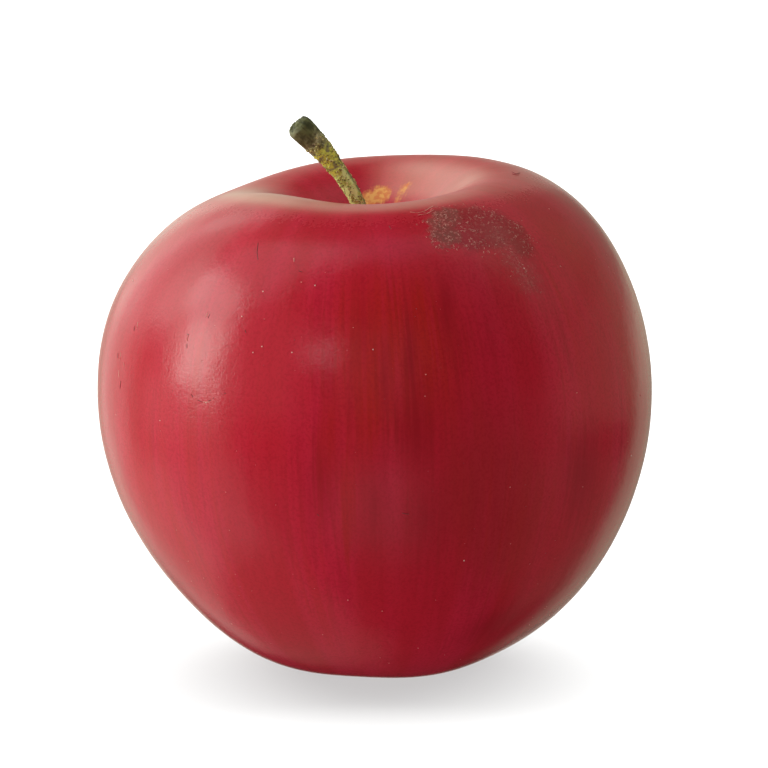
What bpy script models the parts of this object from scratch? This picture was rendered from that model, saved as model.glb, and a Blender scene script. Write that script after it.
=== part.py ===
"""A ripe red apple, as picked: the fruit, its woody stem and the dried flower parts in the eye.

Metres, +Z up. The apple stands on the small flat ring round its eye, at Z = 0. The origin lies on the
surface that it stands on, under the middle of the whole apple's outline as seen from above. +X is to
the right and -Y towards the viewer, with the stem leaning over to -X.
"""

import math
import random

import bmesh
import bpy
from mathutils import Matrix, Vector, geometry

# The meridian: half of the outline, before the lobes and the lean are put in.
CHEEK_RADIUS = 0.0400
CHEEK_HEIGHT = 0.0395
CREST_RADIUS = 0.0185
CREST_HEIGHT = 0.0708
THROAT_RADIUS = 0.0016
THROAT_HEIGHT = 0.0580
RING_OUTER_RADIUS = 0.0096
RING_INNER_RADIUS = 0.0074
EYE_RADIUS = 0.0023
EYE_HEIGHT = 0.0068

# How full each stretch of the meridian is: the lengths of its Bezier handles.
THROAT_FLARE = (0.0042, 0.0022)
CREST_INNER_FULLNESS = 0.0090
CREST_OUTER_FULLNESS = 0.0093
CHEEK_UPPER_FULLNESS = 0.0195
CHEEK_LOWER_FULLNESS = 0.0199
HEEL_FULLNESS = 0.0148
BASIN_LIP = 0.0016
BASIN_WALL = 0.0034

# The plain sockets that the stem and the flower parts stand in.
STEM_SOCKET_DEPTH = 0.0030
EYE_SOCKET_DEPTH = 0.0022
SOCKET_GAP = 0.0003

# The five lobes over the seed chambers. Each shoulder has its own height above the mean crest.
LOBE_HEIGHTS = (0.0001, -0.0004, -0.0006, -0.0016, 0.0014)
LOBES = len(LOBE_HEIGHTS)
FIRST_LOBE_ANGLE = math.radians(-65.0)
LOBE_SHARPNESS = 11
SHOULDER_SWELL = 0.007
CROWN_SWELL = 0.030

# The fruit grew a little lopsided: the shoulders rise to +X, and both ends sit off the cheek's axis.
SHOULDER_RISE_X = 0.071
SHOULDER_RISE_Y = 0.026
CREST_SHIFT = (-0.0009, -0.0009)
BASE_SHIFT = (0.0006, 0.0)

MERIDIANS = 60
CAVITY_STEPS = 9
SHOULDER_STEPS = 12
HEEL_STEPS = 14
BASIN_STEPS = 6
MERGE_DISTANCE = 0.00001
SMOOTH_ANGLE = math.radians(40.0)

# The stem, from its root in the socket to the knob where it was picked: x, z and radius. The first is
# measured from the cavity's axis, and every point lies at the cavity's depth in y, give or take a little.
STEM_ROOT_RADIUS = THROAT_RADIUS - SOCKET_GAP
STEM_KNOTS = (
    (0.0000, THROAT_HEIGHT - STEM_SOCKET_DEPTH + SOCKET_GAP, STEM_ROOT_RADIUS),
    (0.0000, THROAT_HEIGHT, STEM_ROOT_RADIUS),
    (-0.0004, 0.0625, 0.00112),
    (-0.0016, 0.0676, 0.00102),
    (-0.0043, 0.0722, 0.00118),
    (-0.0072, 0.0759, 0.00160),
    (-0.0090, 0.0779, 0.00184),
    (-0.0102, 0.0791, 0.00188),
    (-0.0106, 0.0795, 0.00150),
)
STEM_LEAN_Y = -0.0008
STEM_BEVEL_RESOLUTION = 4
STEM_POINTS_PER_KNOT = 4

# The dried flower parts in the eye: a short tube, five sepals and a brush of stamens.
SEPALS = 5
SEPAL_LENGTH = 0.0056
SEPAL_ROOT_HALF_WIDTH = 0.0011
SEPAL_TIP_HALF_WIDTH = 0.0002
SEPAL_BELLY = 1.1
SEPAL_THICKNESS = 0.0007
SEPAL_ROWS = 10
SEPAL_COLUMNS = 4
SEPAL_ROOT_RADIUS = 0.0014
SEPAL_ROOT_SPREAD = math.radians(14.0)
SEPAL_TIP_SPREAD = math.radians(66.0)
SEPAL_SHORTEST = 0.86
SEPAL_SIDE_CURL = 0.16
SEPAL_CUP = 0.00045
CALYX_TUBE_RADIUS = EYE_RADIUS - SOCKET_GAP
CALYX_TUBE_DROP = 0.0006
STAMENS = 9
STAMEN_LENGTH = 0.0022
STAMEN_RADIUS = 0.00036
STAMEN_RING_RADIUS = 0.0009
STAMEN_SIDES = 5
CALYX_SIDES = 20
CALYX_SEED = 7

SKIN_COLOUR = (0.36, 0.012, 0.022, 1.0)
STEM_COLOUR = (0.11, 0.10, 0.035, 1.0)
CALYX_COLOUR = (0.075, 0.048, 0.022, 1.0)


def clear_scene():
    for obj in list(bpy.data.objects):
        bpy.data.objects.remove(obj, do_unlink=True)


def new_collection(name):
    collection = bpy.data.collections.new(name)
    bpy.context.scene.collection.children.link(collection)
    return collection


def plain_material(name, colour, roughness):
    material = bpy.data.materials.new(name)
    material.use_nodes = True
    shader = material.node_tree.nodes["Principled BSDF"]
    shader.inputs["Base Color"].default_value = colour
    shader.inputs["Roughness"].default_value = roughness
    shader.inputs["Metallic"].default_value = 0.0
    material.diffuse_color = colour
    return material


def evaluated_mesh(obj, name):
    """The object's mesh with its modifiers applied."""
    graph = bpy.context.evaluated_depsgraph_get()
    mesh = bpy.data.meshes.new_from_object(obj.evaluated_get(graph))
    mesh.name = name
    return mesh


def smooth_step(share):
    share = min(max(share, 0.0), 1.0)
    return share * share * (3.0 - 2.0 * share)


def stretch(start, start_handle, end_handle, end, steps):
    """One stretch of the meridian, as points (radius, height) after the first."""
    corners = [Vector((r, 0.0, z)) for r, z in (start, start_handle, end_handle, end)]
    points = geometry.interpolate_bezier(*corners, steps + 1)
    return [(p.x, p.z) for p in points[1:]]


def meridian():
    """The turned outline, as points (radius, height): stem socket, cavity, cheek, base ring, eye."""
    socket_floor = THROAT_HEIGHT - STEM_SOCKET_DEPTH
    eye_roof = EYE_HEIGHT + EYE_SOCKET_DEPTH
    throat = (THROAT_RADIUS, THROAT_HEIGHT)
    crest = (CREST_RADIUS, CREST_HEIGHT)
    cheek = (CHEEK_RADIUS, CHEEK_HEIGHT)
    heel = (RING_OUTER_RADIUS, 0.0)
    lip = (RING_INNER_RADIUS, 0.0)
    eye = (EYE_RADIUS, EYE_HEIGHT)
    points = [(0.0, socket_floor), (THROAT_RADIUS, socket_floor), throat]
    points += stretch(
        throat,
        (THROAT_RADIUS + THROAT_FLARE[0], THROAT_HEIGHT + THROAT_FLARE[1]),
        (CREST_RADIUS - CREST_INNER_FULLNESS, CREST_HEIGHT),
        crest,
        CAVITY_STEPS,
    )
    points += stretch(
        crest,
        (CREST_RADIUS + CREST_OUTER_FULLNESS, CREST_HEIGHT),
        (CHEEK_RADIUS, CHEEK_HEIGHT + CHEEK_UPPER_FULLNESS),
        cheek,
        SHOULDER_STEPS,
    )
    points += stretch(
        cheek,
        (CHEEK_RADIUS, CHEEK_HEIGHT - CHEEK_LOWER_FULLNESS),
        (RING_OUTER_RADIUS + HEEL_FULLNESS, 0.0),
        heel,
        HEEL_STEPS,
    )
    points += [lip]
    points += stretch(
        lip,
        (RING_INNER_RADIUS - BASIN_LIP, 0.0),
        (EYE_RADIUS + BASIN_WALL, EYE_HEIGHT),
        eye,
        BASIN_STEPS,
    )
    points += [(EYE_RADIUS, eye_roof), (0.0, eye_roof)]
    return points


def lobe_rise(angle):
    """How far the shoulder at this angle stands above or below the mean crest."""
    rise = 0.0
    for number, height in enumerate(LOBE_HEIGHTS):
        centre = FIRST_LOBE_ANGLE + number * math.tau / LOBES
        rise += height * ((1.0 + math.cos(angle - centre)) / 2.0) ** LOBE_SHARPNESS
    return rise


def grown(point):
    """Where a point of the turned shape lies on the real, lobed and lopsided fruit."""
    radius = math.hypot(point.x, point.y)
    angle = math.atan2(point.y, point.x)
    in_cavity = radius < CREST_RADIUS and point.z > CHEEK_HEIGHT
    in_basin = radius <= RING_OUTER_RADIUS and point.z < CHEEK_HEIGHT
    top = 1.0 if in_cavity else smooth_step((point.z - CHEEK_HEIGHT) / (CREST_HEIGHT - CHEEK_HEIGHT))
    low = 1.0 if in_basin else smooth_step((CHEEK_HEIGHT - point.z) / CHEEK_HEIGHT)
    ribs = math.cos(LOBES * (angle - FIRST_LOBE_ANGLE))
    outside_eye = smooth_step((radius - EYE_RADIUS) / (RING_INNER_RADIUS - EYE_RADIUS))
    outside_throat = smooth_step((radius - THROAT_RADIUS) / (CREST_RADIUS - THROAT_RADIUS))
    swell = 1.0 + ribs * (SHOULDER_SWELL * top * outside_throat + CROWN_SWELL * low ** 3 * outside_eye)
    x = point.x * swell + CREST_SHIFT[0] * top + BASE_SHIFT[0] * low
    y = point.y * swell + CREST_SHIFT[1] * top + BASE_SHIFT[1] * low
    lift = outside_throat if in_cavity else top
    z = point.z + lift * (SHOULDER_RISE_X * x + SHOULDER_RISE_Y * y + lobe_rise(angle))
    return Vector((x, y, z))


def make_fruit(collection):
    """The flesh and skin, grown as one piece: a turned outline whose points are then moved."""
    points = meridian()
    outline = bpy.data.meshes.new("meridian")
    corners = [(radius, 0.0, height) for radius, height in points]
    outline.from_pydata(corners, [(i, i + 1) for i in range(len(points) - 1)], [])
    lathe = bpy.data.objects.new("lathe", outline)
    collection.objects.link(lathe)
    screw = lathe.modifiers.new("turn", "SCREW")
    screw.steps = MERIDIANS
    screw.render_steps = MERIDIANS
    screw.use_merge_vertices = True
    screw.merge_threshold = MERGE_DISTANCE
    mesh = evaluated_mesh(lathe, "fruit")
    bpy.data.objects.remove(lathe)
    for vertex in mesh.vertices:
        vertex.co = grown(vertex.co)
    mesh.shade_smooth()
    mesh.set_sharp_from_angle(angle=SMOOTH_ANGLE)
    fruit = bpy.data.objects.new("apple_fruit", mesh)
    fruit.data.materials.append(plain_material("apple_skin", SKIN_COLOUR, 0.36))
    collection.objects.link(fruit)
    return fruit


def make_stem(collection):
    """The woody stem: a tapering curve that bends over to one side and ends in a cut knob."""
    curve = bpy.data.curves.new("stem", "CURVE")
    curve.dimensions = "3D"
    curve.bevel_depth = 1.0
    curve.bevel_resolution = STEM_BEVEL_RESOLUTION
    curve.use_fill_caps = True
    curve.resolution_u = STEM_POINTS_PER_KNOT
    spline = curve.splines.new("BEZIER")
    spline.radius_interpolation = "CARDINAL"
    spline.bezier_points.add(len(STEM_KNOTS) - 1)
    top = STEM_KNOTS[-1][1]
    for knot, (x, z, radius) in zip(spline.bezier_points, STEM_KNOTS):
        share = max(0.0, (z - THROAT_HEIGHT) / (top - THROAT_HEIGHT))
        knot.co = (x, STEM_LEAN_Y * share, z)
        knot.radius = radius
        knot.handle_left_type = "AUTO"
        knot.handle_right_type = "AUTO"
    stem = bpy.data.objects.new("stem", curve)
    stem.location = (CREST_SHIFT[0], CREST_SHIFT[1], 0.0)
    stem.data.materials.append(plain_material("stem_bark", STEM_COLOUR, 0.75))
    collection.objects.link(stem)
    return stem


def make_sepal(collection, number, draw):
    """One dried sepal: a cupped, pointed blade that hangs from the tube and curls outwards."""
    mesh = bpy.data.meshes.new(f"sepal_{number}")
    blade = bmesh.new()
    bmesh.ops.create_grid(blade, x_segments=SEPAL_COLUMNS, y_segments=SEPAL_ROWS, size=1.0)
    length = SEPAL_LENGTH * draw.uniform(SEPAL_SHORTEST, 1.0)
    side_curl = SEPAL_SIDE_CURL * draw.uniform(-1.0, 1.0)
    bend = SEPAL_TIP_SPREAD - SEPAL_ROOT_SPREAD
    for vertex in blade.verts:
        share = (vertex.co.y + 1.0) / 2.0
        side = vertex.co.x
        belly = (1.0 + SEPAL_BELLY * share) * (1.0 - share ** 1.7)
        half_width = max(SEPAL_ROOT_HALF_WIDTH * belly, SEPAL_TIP_HALF_WIDTH)
        spread = SEPAL_ROOT_SPREAD + bend * share
        outwards = length / bend * (math.cos(SEPAL_ROOT_SPREAD) - math.cos(spread))
        down = length / bend * (math.sin(spread) - math.sin(SEPAL_ROOT_SPREAD))
        cup = SEPAL_CUP * side * side * (1.0 - share)
        sideways = side * half_width + side_curl * length * share ** 2
        vertex.co = (SEPAL_ROOT_RADIUS + outwards - cup, sideways, -down)
    blade.to_mesh(mesh)
    blade.free()
    sepal = bpy.data.objects.new(f"sepal_{number}", mesh)
    sepal.rotation_euler.z = FIRST_LOBE_ANGLE + number * math.tau / SEPALS
    thicken = sepal.modifiers.new("thickness", "SOLIDIFY")
    thicken.thickness = SEPAL_THICKNESS
    thicken.offset = 0.0
    collection.objects.link(sepal)
    return sepal


def make_stamen(collection, number, draw):
    """One dried stamen: a thin spike whose root is sunk in the tube."""
    mesh = bpy.data.meshes.new(f"stamen_{number}")
    spike = bmesh.new()
    angle = number * math.tau / STAMENS + draw.uniform(-0.2, 0.2)
    length = STAMEN_LENGTH * draw.uniform(0.75, 1.0)
    bmesh.ops.create_cone(
        spike,
        cap_ends=True,
        segments=STAMEN_SIDES,
        radius1=STAMEN_RADIUS * 0.55,
        radius2=STAMEN_RADIUS,
        depth=length,
        matrix=Matrix.Translation((0.0, 0.0, -length / 2.0)),
    )
    spike.to_mesh(mesh)
    spike.free()
    stamen = bpy.data.objects.new(f"stamen_{number}", mesh)
    ring = STAMEN_RING_RADIUS * (0.35 if number % 3 == 0 else 1.0)
    stamen.location = (ring * math.cos(angle), ring * math.sin(angle), 0.0004)
    stamen.rotation_euler = (0.22 * math.sin(angle), -0.22 * math.cos(angle), 0.0)
    collection.objects.link(stamen)
    return stamen


def make_calyx(collection):
    """The dried flower parts, grown as one piece: a tube in the eye, its sepals and its stamens."""
    draw = random.Random(CALYX_SEED)
    loose = new_collection("calyx_parts")
    for number in range(SEPALS):
        make_sepal(loose, number, draw)
    for number in range(STAMENS):
        make_stamen(loose, number, draw)
    tube_height = EYE_SOCKET_DEPTH - SOCKET_GAP + CALYX_TUBE_DROP
    tube = bpy.data.meshes.new("calyx_tube")
    body = bmesh.new()
    bmesh.ops.create_cone(
        body,
        cap_ends=True,
        segments=CALYX_SIDES,
        radius1=CALYX_TUBE_RADIUS,
        radius2=CALYX_TUBE_RADIUS,
        depth=tube_height,
        matrix=Matrix.Translation((0.0, 0.0, tube_height / 2.0 - CALYX_TUBE_DROP)),
    )
    body.to_mesh(tube)
    body.free()
    joined = bpy.data.objects.new("calyx_joined", tube)
    collection.objects.link(joined)
    union = joined.modifiers.new("grow_together", "BOOLEAN")
    union.operation = "UNION"
    union.operand_type = "COLLECTION"
    union.collection = loose
    mesh = evaluated_mesh(joined, "calyx")
    for obj in [joined, *loose.objects]:
        bpy.data.objects.remove(obj)
    bpy.data.collections.remove(loose)
    calyx = bpy.data.objects.new("calyx", mesh)
    calyx.data.materials.append(plain_material("dry_calyx", CALYX_COLOUR, 0.85))
    calyx.location = (BASE_SHIFT[0], BASE_SHIFT[1], EYE_HEIGHT)
    collection.objects.link(calyx)
    return calyx


def centre_over_origin(pieces):
    """Moves the apple sideways until its outline from above is centred on the origin."""
    bpy.context.view_layer.update()
    corners = [piece.matrix_world @ Vector(corner) for piece in pieces for corner in piece.bound_box]
    middle_x = (min(c.x for c in corners) + max(c.x for c in corners)) / 2.0
    middle_y = (min(c.y for c in corners) + max(c.y for c in corners)) / 2.0
    for piece in pieces:
        piece.location.x -= middle_x
        piece.location.y -= middle_y


def main():
    clear_scene()
    collection = new_collection("red_apple")
    fruit = make_fruit(collection)
    stem = make_stem(collection)
    calyx = make_calyx(collection)
    centre_over_origin([fruit, stem, calyx])


main()
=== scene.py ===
# %% [markdown]
# # A red apple, as picked
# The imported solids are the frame: a fruit, a woody stem and the dried flower parts underneath. This
# lesson grows a finer skin, stem and flower over them, paints them with node materials and lights
# them as in the photograph. Everything is in metres, with +Z up and the viewer at -Y.

# %% Load the frame
import math
from types import SimpleNamespace

import bmesh
import bpy
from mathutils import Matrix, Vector
from mathutils.bvhtree import BVHTree


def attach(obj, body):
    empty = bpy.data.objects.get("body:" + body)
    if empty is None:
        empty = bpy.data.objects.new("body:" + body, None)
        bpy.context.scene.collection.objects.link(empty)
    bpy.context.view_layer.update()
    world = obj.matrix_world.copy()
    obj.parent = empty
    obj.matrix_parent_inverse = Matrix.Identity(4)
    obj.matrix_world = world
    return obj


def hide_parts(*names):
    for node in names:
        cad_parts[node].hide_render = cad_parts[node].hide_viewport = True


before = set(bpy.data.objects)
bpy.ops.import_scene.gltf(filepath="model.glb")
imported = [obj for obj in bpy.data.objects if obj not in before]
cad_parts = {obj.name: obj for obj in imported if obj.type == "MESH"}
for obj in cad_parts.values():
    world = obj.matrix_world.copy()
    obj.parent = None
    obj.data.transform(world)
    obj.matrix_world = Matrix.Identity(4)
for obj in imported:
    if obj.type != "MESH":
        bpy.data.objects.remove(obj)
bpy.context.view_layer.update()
print("solids:", sorted(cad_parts))

# %% [markdown]
# ## The photograph's view
# A fruit this size is photographed from about a metre with a long lens, so it shows little
# perspective. The camera is worked out from three things read off the picture: how far above the
# fruit it stands, how many pixels a metre takes up, and which pixel the middle of the fruit is on.
# A small lens shift puts that pixel in its place without turning the camera.

# %% Camera
IMAGE_SIZE = 768
VIEW_ELEVATION = math.radians(12.6)
VIEW_DISTANCE = 0.900
PIXELS_PER_METRE = 6925.0
AIM = Vector((0.0, 0.0, 0.038))
AIM_PIXEL = (374.8, 402.2)
SENSOR_WIDTH = 36.0
NEAREST_SEEN = 0.01

LOOK = Vector((0.0, math.cos(VIEW_ELEVATION), -math.sin(VIEW_ELEVATION)))
PICTURE_UP = Vector((0.0, math.sin(VIEW_ELEVATION), math.cos(VIEW_ELEVATION)))
PICTURE_RIGHT = Vector((1.0, 0.0, 0.0))
EYE_POINT = AIM - LOOK * VIEW_DISTANCE


def add_object(name, data):
    """A new object with this mesh, curve, lamp or camera in it."""
    item = bpy.data.objects.new(name, data)
    bpy.context.scene.collection.objects.link(item)
    return item


def make_camera():
    lens = bpy.data.cameras.new("photo_view")
    lens.sensor_width = SENSOR_WIDTH
    lens.lens = SENSOR_WIDTH * VIEW_DISTANCE * PIXELS_PER_METRE / IMAGE_SIZE
    lens.shift_x = (IMAGE_SIZE / 2 - AIM_PIXEL[0]) / IMAGE_SIZE
    lens.shift_y = (AIM_PIXEL[1] - IMAGE_SIZE / 2) / IMAGE_SIZE
    lens.clip_start = NEAREST_SEEN
    camera = add_object("photo_view", lens)
    camera.location = EYE_POINT
    camera.rotation_euler = LOOK.to_track_quat("-Z", "Y").to_euler()
    bpy.context.scene.camera = camera
    return camera


camera = make_camera()
print("lens in mm:", round(camera.data.lens, 1))

# %% [markdown]
# ## Writing node trees as sums
# A tree of a hundred Math nodes is hard to read. Here one small class stands for a socket, and the
# signs + - * / on it add the Math nodes. A second class makes any other node: its settings go in
# first, then the values or links of its sockets. Both work for materials and for Geometry Nodes.


# %% A socket that can be calculated with
class Value:
    """An output socket. Arithmetic on it adds Math nodes to its tree."""

    def __init__(self, nodes, socket):
        self.nodes = nodes
        self.socket = socket

    def output(self, key):
        """Another output of the same node."""
        return Value(self.nodes, self.nodes.find(self.socket.node.outputs, key))

    def __add__(self, other):
        return self.nodes.math("ADD", self, other)

    def __sub__(self, other):
        return self.nodes.math("SUBTRACT", self, other)

    def __mul__(self, other):
        return self.nodes.math("MULTIPLY", self, other)

    def __truediv__(self, other):
        return self.nodes.math("DIVIDE", self, other)

    def __pow__(self, other):
        return self.nodes.math("POWER", self, other)

    __radd__ = __add__
    __rmul__ = __mul__

    def __rsub__(self, other):
        return self.nodes.math("SUBTRACT", other, self)

    def __gt__(self, other):
        return self.nodes.math("GREATER_THAN", self, other)

    def __lt__(self, other):
        return self.nodes.math("LESS_THAN", self, other)

    def step(self, low, high, start=0.0, end=1.0):
        """0 below low, 1 above high, and a smooth ramp between them."""
        return self.nodes.node(
            "ShaderNodeMapRange",
            {"interpolation_type": "SMOOTHSTEP", "clamp": False},
            {"Value": self, "From Min": low, "From Max": high, "To Min": start, "To Max": end},
        )

    def fall(self, low, high):
        """1 below low, 0 above high, and a smooth ramp between them."""
        return self.step(low, high, 1.0, 0.0)

    def larger(self, other):
        return self.nodes.math("MAXIMUM", self, other)

    def smaller(self, other):
        return self.nodes.math("MINIMUM", self, other)

    def cosine(self):
        return self.nodes.math("COSINE", self)

    def sine(self):
        return self.nodes.math("SINE", self)

    def size_alone(self):
        return self.nodes.math("ABSOLUTE", self)


class Nodes:
    """A node tree that is being built."""

    def __init__(self, tree):
        self.tree = tree
        tree.nodes.clear()

    @staticmethod
    def find(sockets, key):
        """The socket with this number, identifier or name."""
        if isinstance(key, int):
            return sockets[key]
        for socket in sockets:
            if socket.identifier == key:
                return socket
        for socket in sockets:
            if socket.name == key and socket.enabled:
                return socket
        raise KeyError(f"{key} is none of {[socket.identifier for socket in sockets]}")

    def node(self, kind, settings=None, inputs=None, output=0):
        """One node of any kind: its settings first, then its sockets. Returns one of its outputs."""
        node = self.tree.nodes.new(kind)
        for name, setting in (settings or {}).items():
            setattr(node, name, setting)
        for key, value in (inputs or {}).items():
            self.put(self.find(node.inputs, key), value)
        return Value(self, self.find(node.outputs, output)) if len(node.outputs) else node

    def put(self, socket, value):
        """Links a Value to an input socket, or sets a plain number, colour, vector or object on it."""
        if isinstance(value, Value):
            self.tree.links.new(value.socket, socket)
        elif socket.type == "RGBA":
            socket.default_value = (*value[:3], 1.0)
        else:
            socket.default_value = value

    def math(self, operation, *operands):
        return self.node("ShaderNodeMath", {"operation": operation}, dict(enumerate(operands)))

    def vector(self, operation, *operands):
        """Vector maths. A length, a distance and a dot product are numbers, and all else is a vector."""
        output = "Value" if operation in ("LENGTH", "DISTANCE", "DOT_PRODUCT") else "Vector"
        inputs = dict(enumerate(operands))
        return self.node("ShaderNodeVectorMath", {"operation": operation}, inputs, output)

    def scaled(self, vector, factor):
        return self.node("ShaderNodeVectorMath", {"operation": "SCALE"}, {0: vector, "Scale": factor})

    def combine(self, x, y, z):
        return self.node("ShaderNodeCombineXYZ", None, {"X": x, "Y": y, "Z": z})

    def split(self, vector):
        whole = self.node("ShaderNodeSeparateXYZ", None, {0: vector})
        return whole, whole.output("Y"), whole.output("Z")

    def mix(self, factor, first, second):
        """A colour between first, at factor 0, and second, at factor 1."""
        return self.node(
            "ShaderNodeMix",
            {"data_type": "RGBA"},
            {"Factor_Float": factor, "A_Color": first, "B_Color": second},
            "Result_Color",
        )

    def noise(self, vector, scale, detail=2.0, roughness=0.5):
        return self.node(
            "ShaderNodeTexNoise",
            None,
            {"Vector": vector, "Scale": scale, "Detail": detail, "Roughness": roughness},
        )

    def near(self, place, start, end, reach):
        """1 on the line from start to end, falling evenly to 0 at this reach from it."""
        line = end - start
        from_start = self.vector("SUBTRACT", place, start)
        along = self.vector("DOT_PRODUCT", from_start, line) / max(line.length_squared, 1e-12)
        nearest = self.scaled(line, along.larger(0.0).smaller(1.0))
        away = self.vector("DISTANCE", from_start, nearest)
        return (1.0 - away / reach).larger(0.0)

    @staticmethod
    def largest(values):
        """The largest of several values at each point."""
        widest = values[0]
        for value in values[1:]:
            widest = widest.larger(value)
        return widest

    def near_path(self, place, points, reach):
        """The same for a path of several lines."""
        return self.largest([self.near(place, a, b, reach) for a, b in zip(points, points[1:])])

    def coat(self, finish):
        """Ends a material in one surface with this finish."""
        surface = self.node("ShaderNodeBsdfPrincipled", None, finish)
        self.node("ShaderNodeOutputMaterial", None, {"Surface": surface})


def new_material(name):
    """A material, and its empty node tree."""
    material = bpy.data.materials.new(name)
    material.use_nodes = True
    return material, Nodes(material.node_tree)


# %% [markdown]
# ## The studio
# A satin skin is a soft mirror, so most of what the eye reads as its shape is a picture of the
# studio: a tall bright window of paper on the left, dimmer paper behind it, one small lamp in front
# and a grey wall on the right. Lamps could be placed for each, but their borders would have to be
# matched by trial. Here the sky itself carries the softboxes, each as a patch with soft borders given
# in degrees. Lamps that no mirror shows fill in the reds, and the floor has a light of its own.

# %% Softboxes in the sky
# Each softbox: its middle, counted from the viewer to the right, its reach and fade to the left and
# to the right of that, its lower and upper border and their fades, all in degrees, and its light.
SOFTBOXES = {
    "window, lower panes": (-79, (8, 8), (10, 6), (2, 18), (7, 8), (6.7, 6.7, 6.1)),
    "window, upper panes": (-86, (12, 14), (10, 8), (26, 39), (8, 9), (4.3, 4.2, 3.95)),
    "room beside the window": (-50, (10, 14), (8, 10), (0, 38), (10, 10), (0.32, 0.32, 0.30)),
    "window's lower far edge": (-106, (6, 6), (12, 8), (6, 12), (6, 6), (0.70, 0.71, 0.72)),
    "window's upper far edge": (-108, (6, 7), (12, 8), (15, 36), (6, 10), (2.30, 2.33, 2.22)),
    "window's sill": (-88, (20, 20), (10, 8), (-12, -4), (8, 8), (0.88, 0.91, 0.83)),
    "paper over the window": (-85, (20, 25), (15, 15), (50, 76), (10, 10), (1.15, 1.13, 1.13)),
    "paper over its far edge": (-125, (15, 15), (12, 15), (50, 70), (8, 10), (0.22, 0.25, 0.18)),
    "paper beside the window": (-135, (10, 10), (10, 12), (6, 20), (8, 8), (1.22, 1.24, 1.17)),
    "paper above that": (-135, (10, 10), (10, 12), (28, 44), (8, 8), (1.25, 1.28, 1.22)),
    "paper below that": (-138, (12, 12), (10, 14), (-16, -2), (8, 8), (0.89, 0.93, 0.83)),
    "left of the backdrop": (-160, (7, 8), (8, 8), (2, 20), (8, 8), (0.97, 1.04, 0.89)),
    "top left of the backdrop": (-155, (7, 8), (7, 8), (31, 48), (8, 8), (1.45, 1.5, 1.38)),
    "foot of the backdrop, left": (-162, (7, 7), (8, 8), (-20, -6), (8, 8), (0.45, 0.50, 0.40)),
    "foot of the backdrop": (180, (6, 6), (8, 8), (-18, 2), (8, 8), (0.88, 0.90, 0.76)),
    "backdrop": (180, (8, 10), (8, 10), (10, 34), (8, 8), (0.46, 0.53, 0.40)),
    "table on the left": (-85, (18, 18), (14, 14), (-44, -22), (8, 8), (0.69, 0.67, 0.66)),
    "table at the back left": (-132, (20, 20), (14, 14), (-44, -24), (8, 8), (0.65, 0.69, 0.58)),
    "table near the fruit": (-110, (50, 50), (20, 20), (-78, -52), (8, 8), (0.23, 0.22, 0.18)),
    "small lamp": (-23, (4, 3), (3, 3), (22, 29), (3, 3), (2.2, 2.2, 2.2)),
    "foot of the grey wall": (112, (30, 20), (10, 14), (-46, -22), (10, 8), (0.14, 0.12, 0.09)),
    "grey wall": (112, (26, 26), (8, 10), (-8, 12), (8, 8), (0.27, 0.28, 0.19)),
    "upper part of the grey wall": (112, (26, 26), (8, 10), (22, 48), (8, 10), (0.30, 0.32, 0.20)),
    "top of the grey wall": (118, (28, 28), (16, 12), (56, 74), (8, 8), (0.55, 0.45, 0.40)),
    "floor behind the fruit, right": (150, (8, 12), (8, 10), (-26, -4), (14, 6), (0.46, 0.46, 0.34)),
    "end of the grey wall": (158, (10, 8), (10, 8), (-6, 20), (8, 8), (0.23, 0.25, 0.19)),
    "upper end of the grey wall": (158, (10, 8), (10, 8), (30, 48), (8, 8), (0.22, 0.25, 0.19)),
    "ceiling": (0, (180, 180), (1, 1), (84, 91), (10, 1), (0.34, 0.34, 0.5)),
}
DARK_ROOM = (0.02, 0.02, 0.02)
HALF_TURN = 180.0
WHITE = (1.0, 1.0, 1.0)


def sky_patch(sky, turn, height, middle, reach, fade, heights, height_fade):
    """1 inside a patch of the sky, fading out over its left, right, lower and upper borders."""
    away = sky.math("WRAP", turn - middle, HALF_TURN, -HALF_TURN)
    left = away.step(-reach[0] - fade[0], -reach[0])
    right = away.fall(reach[1], reach[1] + fade[1])
    bottom = height.step(heights[0] - height_fade[0], heights[0])
    top = height.fall(heights[1], heights[1] + height_fade[1])
    return left * right * bottom * top


def make_sky():
    world = bpy.data.worlds.new("studio")
    world.use_nodes = True
    bpy.context.scene.world = world
    sky = Nodes(world.node_tree)
    x, y, z = sky.split(sky.node("ShaderNodeTexCoord", output="Generated"))
    turn = sky.math("ARCTAN2", x, 0.0 - y) * math.degrees(1.0)
    height = sky.math("ARCSINE", z) * math.degrees(1.0)
    total = DARK_ROOM
    for *shape, light in SOFTBOXES.values():
        total = sky.vector("ADD", sky.scaled(light, sky_patch(sky, turn, height, *shape)), total)
    lighting = sky.node("ShaderNodeBackground", None, {"Color": total})
    backdrop = sky.node("ShaderNodeBackground", None, {"Color": WHITE})
    seen = sky.node("ShaderNodeLightPath", output="Is Camera Ray")
    both = sky.node("ShaderNodeMixShader", None, {0: seen, 1: lighting, 2: backdrop})
    sky.node("ShaderNodeOutputWorld", None, {"Surface": both})
    return world


make_sky()
bpy.context.scene.view_settings.view_transform = "Standard"
print("softboxes:", ", ".join(SOFTBOXES))

# %% Floor
FLOOR_HALF_SIDE = 2.0
FLOOR_PAPER = (0.10, 0.10, 0.10)
FLOOR_PAPER_SHADE = (0.095, 0.095, 0.094)
FLOOR_GLOW = 0.550
PAPER_GRAIN = 0.0012


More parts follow.
